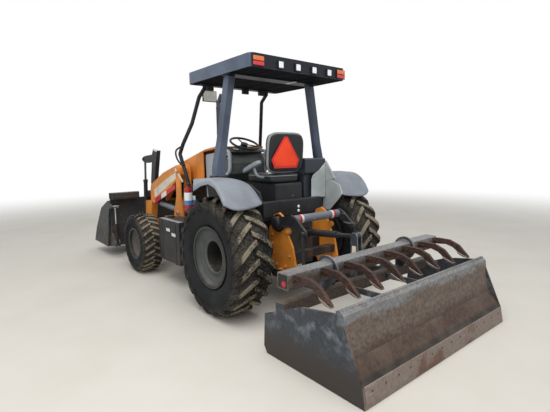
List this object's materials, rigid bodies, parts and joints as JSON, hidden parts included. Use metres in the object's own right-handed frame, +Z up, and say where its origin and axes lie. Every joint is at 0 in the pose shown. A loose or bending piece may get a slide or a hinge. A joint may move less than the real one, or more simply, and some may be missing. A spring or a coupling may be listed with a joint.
{
  "type": "tractor loader with clam bucket and rear box scraper",
  "caption": "Industrial tractor with a front loader and opening clam bucket, roofed operator platform, and a box scraper with a ripper bar on its rear hitch.",
  "frame": {"origin": "on the floor under the middle of the whole machine, box scraper to bucket lip", "axes": "+X to the machine's right, +Y to its front, +Z up"},
  "size_m": [2.158, 6.08, 2.63],
  "materials": {
    "orange_paint": "weathered gloss paint",
    "grey_paint": "satin paint",
    "black_paint": "satin paint, dusty",
    "machine_grey": "oily cast iron",
    "worn_steel": "worn, rusty steel",
    "dark_steel": "scuffed dark paint",
    "chrome": "polished rod",
    "tyre": "dusty rubber",
    "rim_paint": "satin paint",
    "black_plastic": "moulded, matt",
    "seat_vinyl": "vinyl",
    "sign_red": "reflective",
    "lamp_clear": "clear lens",
    "lamp_red": "red and amber lens",
    "mirror_glass": "black housing",
    "red_paint": "gloss"
  },
  "bodies": {
    "chassis": {"engine_block": "machine_grey", "radiator": "black_paint", "transmission": "machine_grey", "front_frame": "black_paint", "front_axle": "machine_grey", "loader_towers": "orange_paint", "platform": "black_paint", "left_fender": "grey_paint", "right_fender": "grey_paint", "side_console": "black_plastic", "levers": "black_plastic", "rear_crossmember": "black_paint", "seat_cushion": "seat_vinyl", "seat_back": "seat_vinyl", "triangle_sign": "sign_red", "cowl": "black_plastic", "roof_posts_rear": "black_paint", "roof_posts_front": "black_paint", "roof": "black_paint", "work_lamps": "lamp_clear", "tail_lamps": "lamp_red", "mirror": "mirror_glass", "exhaust_stack": "black_paint", "left_tank": "black_plastic", "right_tank": "black_plastic", "extinguisher": "red_paint", "hitch_frame": "orange_paint"},
    "hood_body": {"hood": "orange_paint", "grille": "black_plastic"},
    "boom_body": {"boom": "orange_paint", "boom_brackets": "black_paint"},
    "lift_barrels": {"lift_cylinder_barrels": "black_paint"},
    "lift_rods": {"lift_cylinder_rods": "chrome"},
    "bucket_body": {"bucket_back": "dark_steel"},
    "clam_body": {"bucket_clam": "worn_steel"},
    "tilt_barrels": {"tilt_cylinder_barrels": "black_paint"},
    "tilt_rods": {"tilt_cylinder_rods": "chrome"},
    "clam_barrels": {"clam_cylinder_barrels": "black_paint"},
    "clam_rods": {"clam_cylinder_rods": "chrome"},
    "left_knuckle_body": {"left_knuckle": "machine_grey"},
    "right_knuckle_body": {"right_knuckle": "machine_grey"},
    "steering_rod_body": {"steering_rod": "chrome"},
    "steering_wheel_body": {"steering_wheel": "black_plastic"},
    "rear_left_wheel": {"rear_left_tyre": "tyre", "rear_left_rim": "rim_paint"},
    "rear_right_wheel": {"rear_right_tyre": "tyre", "rear_right_rim": "rim_paint"},
    "front_left_wheel": {"front_left_tyre": "tyre", "front_left_rim": "rim_paint"},
    "front_right_wheel": {"front_right_tyre": "tyre", "front_right_rim": "rim_paint"},
    "lower_link_body": {"lower_links": "black_paint"},
    "rockshaft_body": {"rockshaft": "black_paint"},
    "lift_link_body": {"lift_links": "black_paint"},
    "top_link_body": {"top_link": "black_paint"},
    "box_body": {"box_scraper": "worn_steel"},
    "ripper_body": {"ripper_bar": "worn_steel"}
  },
  "joints": [
    {"name": "boom_lift", "type": "hinge", "parent": "chassis", "child": "boom_body", "pos_m": [0, 0.52, 1.46], "axis": [1, 0, 0], "range_deg": [-3, 72]},
    {"name": "bucket_tilt", "type": "hinge", "parent": "boom_body", "child": "bucket_body", "pos_m": [0, 1.73, 0.3], "axis": [1, 0, 0], "range_deg": [-65, 20]},
    {"name": "clam_open", "type": "hinge", "parent": "bucket_body", "child": "clam_body", "pos_m": [0, 2.14, 0.9], "axis": [1, 0, 0], "range_deg": [0, 50]},
    {"name": "left_steer", "type": "hinge", "parent": "chassis", "child": "left_knuckle_body", "pos_m": [-0.62, 1.115, 0.48], "axis": [0, 0, 1], "range_deg": [-30, 30]},
    {"name": "rear_left_spin", "type": "hinge", "parent": "chassis", "child": "rear_left_wheel", "pos_m": [-0.84, -1.01, 0.62], "axis": [1, 0, 0], "continuous": true},
    {"name": "rear_right_spin", "type": "hinge", "parent": "chassis", "child": "rear_right_wheel", "pos_m": [0.84, -1.01, 0.62], "axis": [1, 0, 0], "continuous": true},
    {"name": "front_left_spin", "type": "hinge", "parent": "left_knuckle_body", "child": "front_left_wheel", "pos_m": [-0.885, 1.115, 0.415], "axis": [1, 0, 0], "continuous": true},
    {"name": "front_right_spin", "type": "hinge", "parent": "right_knuckle_body", "child": "front_right_wheel", "pos_m": [0.885, 1.115, 0.415], "axis": [1, 0, 0], "continuous": true},
    {"name": "hitch_lift", "type": "hinge", "parent": "chassis", "child": "lower_link_body", "pos_m": [0, -1.34, 0.43], "axis": [-1, 0, 0], "range_deg": [0, 30]},
    {"name": "ripper_swing", "type": "hinge", "parent": "box_body", "child": "ripper_body", "pos_m": [0, -2.247, 0.682], "axis": [1, 0, 0], "range_deg": [0, 80]},
    {"name": "hood_open", "type": "hinge", "parent": "chassis", "child": "hood_body", "pos_m": [0, -0.15, 1.75], "axis": [1, 0, 0], "range_deg": [0, 30]},
    {"name": "lift_barrel_swing", "type": "hinge", "parent": "chassis", "child": "lift_barrels", "pos_m": [0, 0.55, 0.88], "axis": [1, 0, 0], "range_deg": [-4.36, 56.06]},
    {"name": "lift_rod_slide", "type": "slide", "parent": "lift_barrels", "child": "lift_rods", "axis": [0, 0.9968, 0.0802], "range_m": [-0.04373, 0.60286]},
    {"name": "tilt_barrel_swing", "type": "hinge", "parent": "bucket_body", "child": "tilt_barrels", "pos_m": [0, 1.923, 0.53], "axis": [1, 0, 0], "range_deg": [-22.06, 70.57]},
    {"name": "tilt_rod_slide", "type": "slide", "parent": "tilt_barrels", "child": "tilt_rods", "axis": [0, -0.0858, 0.9963], "range_m": [-0.08822, 0.28221]},
    {"name": "clam_barrel_swing", "type": "hinge", "parent": "bucket_body", "child": "clam_barrels", "pos_m": [0, 2.04, 0.24], "axis": [1, 0, 0], "range_deg": [-7.64, 0.5]},
    {"name": "clam_rod_slide", "type": "slide", "parent": "clam_barrels", "child": "clam_rods", "axis": [0, -0.0161, 0.9999], "range_m": [-0.0688, 0.002]},
    {"name": "right_steer", "type": "hinge", "parent": "chassis", "child": "right_knuckle_body", "pos_m": [0.62, 1.115, 0.48], "axis": [0, 0, 1], "range_deg": [-30, 30]},
    {"name": "steering_rod_slide", "type": "slide", "parent": "chassis", "child": "steering_rod_body", "axis": [1, 0, 0], "range_m": [-0.0752, 0.0752]},
    {"name": "steering_wheel_turn", "type": "hinge", "parent": "chassis", "child": "steering_wheel_body", "pos_m": [0, -0.24, 1.8], "axis": [0, -0.4226, 0.9063], "range_deg": [-361, 361]},
    {"name": "rockshaft_turn", "type": "hinge", "parent": "chassis", "child": "rockshaft_body", "pos_m": [0, -1.31, 0.935], "axis": [-1, 0, 0], "range_deg": [-0.5, 28.96]},
    {"name": "lift_link_swing", "type": "hinge", "parent": "rockshaft_body", "child": "lift_link_body", "pos_m": [0, -1.732, 0.878], "axis": [-1, 0, 0], "range_deg": [-33.02, 0.5]},
    {"name": "top_link_swing", "type": "hinge", "parent": "chassis", "child": "top_link_body", "pos_m": [0, -1.355, 0.8], "axis": [-1, 0, 0], "range_deg": [-0.5, 30.27]},
    {"name": "box_level", "type": "hinge", "parent": "lower_link_body", "child": "box_body", "pos_m": [0, -2.09, 0.43], "axis": [-1, 0, 0], "range_deg": [-30.5, 0.5]}
  ],
  "couplings": [
    {"joint": "lift_barrel_swing", "follows": "boom_lift", "ratio": 0.77174},
    {"joint": "lift_rod_slide", "follows": "boom_lift", "m_per_rad": 0.47815},
    {"joint": "tilt_barrel_swing", "follows": "bucket_tilt", "ratio": -1.078},
    {"joint": "tilt_rod_slide", "follows": "bucket_tilt", "m_per_rad": -0.247},
    {"joint": "clam_barrel_swing", "follows": "clam_open", "ratio": -0.14286},
    {"joint": "clam_rod_slide", "follows": "clam_open", "m_per_rad": -0.076548},
    {"joint": "right_steer", "follows": "left_steer", "ratio": 1},
    {"joint": "steering_rod_slide", "follows": "left_steer", "m_per_rad": 0.14324},
    {"joint": "steering_wheel_turn", "follows": "left_steer", "ratio": 12},
    {"joint": "rockshaft_turn", "follows": "hitch_lift", "ratio": 0.94873},
    {"joint": "lift_link_swing", "follows": "hitch_lift", "ratio": -1.084},
    {"joint": "top_link_swing", "follows": "hitch_lift", "ratio": 0.9922},
    {"joint": "box_level", "follows": "hitch_lift", "ratio": -1}
  ]
}
